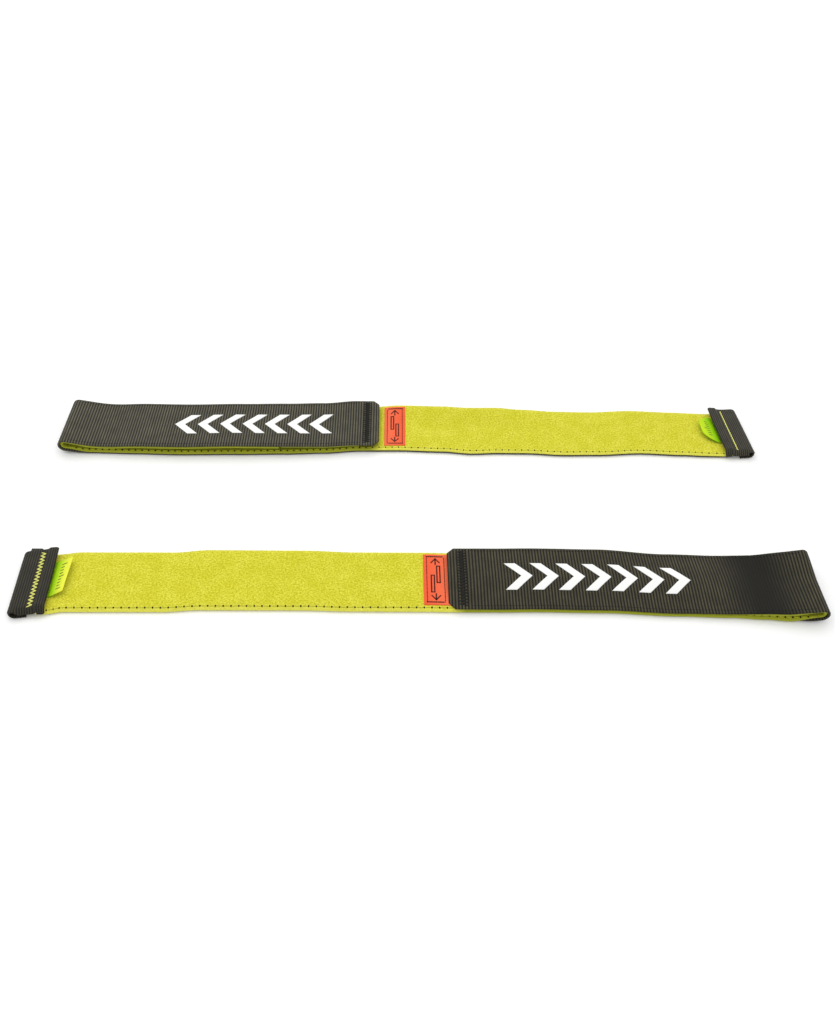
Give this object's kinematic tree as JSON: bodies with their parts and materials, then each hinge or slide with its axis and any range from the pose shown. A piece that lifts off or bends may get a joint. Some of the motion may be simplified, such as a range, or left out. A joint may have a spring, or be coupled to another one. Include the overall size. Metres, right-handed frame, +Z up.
{
  "type": "hook-and-loop fastening straps",
  "caption": "Webbing fastening straps lined with loop pile, each folded back on itself, held shut by a hook patch and ended in a sewn stop.",
  "frame": {"origin": "middle of the pair, on the surface that the straps lie on", "axes": "+X along the straps, towards the right strap's fold; +Y across them, from the right strap to the left strap; +Z up"},
  "size_m": [0.4244, 0.166, 0.0099],
  "materials": {
    "webbing": "heavy ribbed polyester webbing, matte black",
    "loop_pile": "brushed loop pile, lime yellow",
    "seam_thread": "lime sewing thread",
    "stop_tape": "fine ribbed woven tape, black",
    "stop_core": "stiff moulded bar",
    "bright_thread": "pale yellow bonded thread",
    "tag_fabric": "satin woven label, bright green",
    "label_fabric": "woven label, orange red",
    "label_thread": "dark sewing thread",
    "hook_tape": "nylon hook tape, dyed lime olive",
    "black_thread": "black bonded thread",
    "mark_yarn": "white woven yarn"
  },
  "bodies": {
    "left_base": {"left_base_webbing": "webbing", "left_base_lining": "loop_pile", "left_base_seams": "seam_thread", "left_stop_sleeve": "stop_tape", "left_stop_core": "stop_core", "left_stop_bartack": "bright_thread", "left_overlap_label": "label_fabric", "left_label_seam": "label_thread"},
    "left_tag": {"left_size_tag": "tag_fabric"},
    "left_link_1": {"left_fold_webbing_1": "webbing", "left_fold_lining_1": "loop_pile"},
    "left_link_2": {"left_fold_webbing_2": "webbing", "left_fold_lining_2": "loop_pile"},
    "left_link_3": {"left_fold_webbing_3": "webbing", "left_fold_lining_3": "loop_pile"},
    "left_link_4": {"left_fold_webbing_4": "webbing", "left_fold_lining_4": "loop_pile"},
    "left_flap": {"left_flap_webbing": "webbing", "left_flap_lining": "loop_pile", "left_hook_patch": "hook_tape", "left_flap_seams": "black_thread", "left_flap_bartack": "black_thread", "left_flap_mark": "mark_yarn"},
    "right_base": {"right_base_webbing": "webbing", "right_base_lining": "loop_pile", "right_base_seams": "seam_thread", "right_stop_sleeve": "stop_tape", "right_stop_core": "stop_core", "right_stop_bartack": "bright_thread", "right_overlap_label": "label_fabric", "right_label_seam": "label_thread"},
    "right_tag": {"right_size_tag": "tag_fabric"},
    "right_link_1": {"right_fold_webbing_1": "webbing", "right_fold_lining_1": "loop_pile"},
    "right_link_2": {"right_fold_webbing_2": "webbing", "right_fold_lining_2": "loop_pile"},
    "right_link_3": {"right_fold_webbing_3": "webbing", "right_fold_lining_3": "loop_pile"},
    "right_link_4": {"right_fold_webbing_4": "webbing", "right_fold_lining_4": "loop_pile"},
    "right_flap": {"right_flap_webbing": "webbing", "right_flap_lining": "loop_pile", "right_hook_patch": "hook_tape", "right_flap_seams": "black_thread", "right_flap_bartack": "black_thread", "right_flap_mark": "mark_yarn"}
  },
  "joints": [
    {"name": "left_fold_1", "type": "hinge", "parent": "left_base", "child": "left_link_1", "pos_m": [-0.20893, 0.062, 0.00173], "axis": [0, -1, 0], "range_deg": [0, 22.5]},
    {"name": "left_fold_2", "type": "hinge", "parent": "left_link_1", "child": "left_link_2", "pos_m": [-0.21155, 0.062, 0.00347], "axis": [0, -1, 0], "range_deg": [0, 45]},
    {"name": "left_fold_3", "type": "hinge", "parent": "left_link_2", "child": "left_link_3", "pos_m": [-0.21218, 0.062, 0.00654], "axis": [0, -1, 0], "range_deg": [0, 45]},
    {"name": "left_fold_4", "type": "hinge", "parent": "left_link_3", "child": "left_link_4", "pos_m": [-0.21044, 0.062, 0.00916], "axis": [0, -1, 0], "range_deg": [0, 45]},
    {"name": "left_fold_5", "type": "hinge", "parent": "left_link_4", "child": "left_flap", "pos_m": [-0.20737, 0.062, 0.00978], "axis": [0, -1, 0], "range_deg": [0, 22.5]},
    {"name": "left_tag_flip", "type": "hinge", "parent": "left_base", "child": "left_tag", "pos_m": [0.18955, 0.062, 0.0035], "axis": [0, 1, 0], "range_deg": [-15, 45]},
    {"name": "right_fold_1", "type": "hinge", "parent": "right_base", "child": "right_link_1", "pos_m": [0.20893, -0.062, 0.00173], "axis": [0, 1, 0], "range_deg": [0, 22.5]},
    {"name": "right_fold_2", "type": "hinge", "parent": "right_link_1", "child": "right_link_2", "pos_m": [0.21155, -0.062, 0.00347], "axis": [0, 1, 0], "range_deg": [0, 45]},
    {"name": "right_fold_3", "type": "hinge", "parent": "right_link_2", "child": "right_link_3", "pos_m": [0.21218, -0.062, 0.00654], "axis": [0, 1, 0], "range_deg": [0, 45]},
    {"name": "right_fold_4", "type": "hinge", "parent": "right_link_3", "child": "right_link_4", "pos_m": [0.21044, -0.062, 0.00916], "axis": [0, 1, 0], "range_deg": [0, 45]},
    {"name": "right_fold_5", "type": "hinge", "parent": "right_link_4", "child": "right_flap", "pos_m": [0.20737, -0.062, 0.00978], "axis": [0, 1, 0], "range_deg": [0, 22.5]},
    {"name": "right_tag_flip", "type": "hinge", "parent": "right_base", "child": "right_tag", "pos_m": [-0.18955, -0.062, 0.0035], "axis": [0, -1, 0], "range_deg": [-15, 45]},
    {"name": "right_strap_lift", "type": "slide", "parent": "left_base", "child": "right_base", "axis": [0, 0, 1], "range_m": [0, 0.1]}
  ]
}
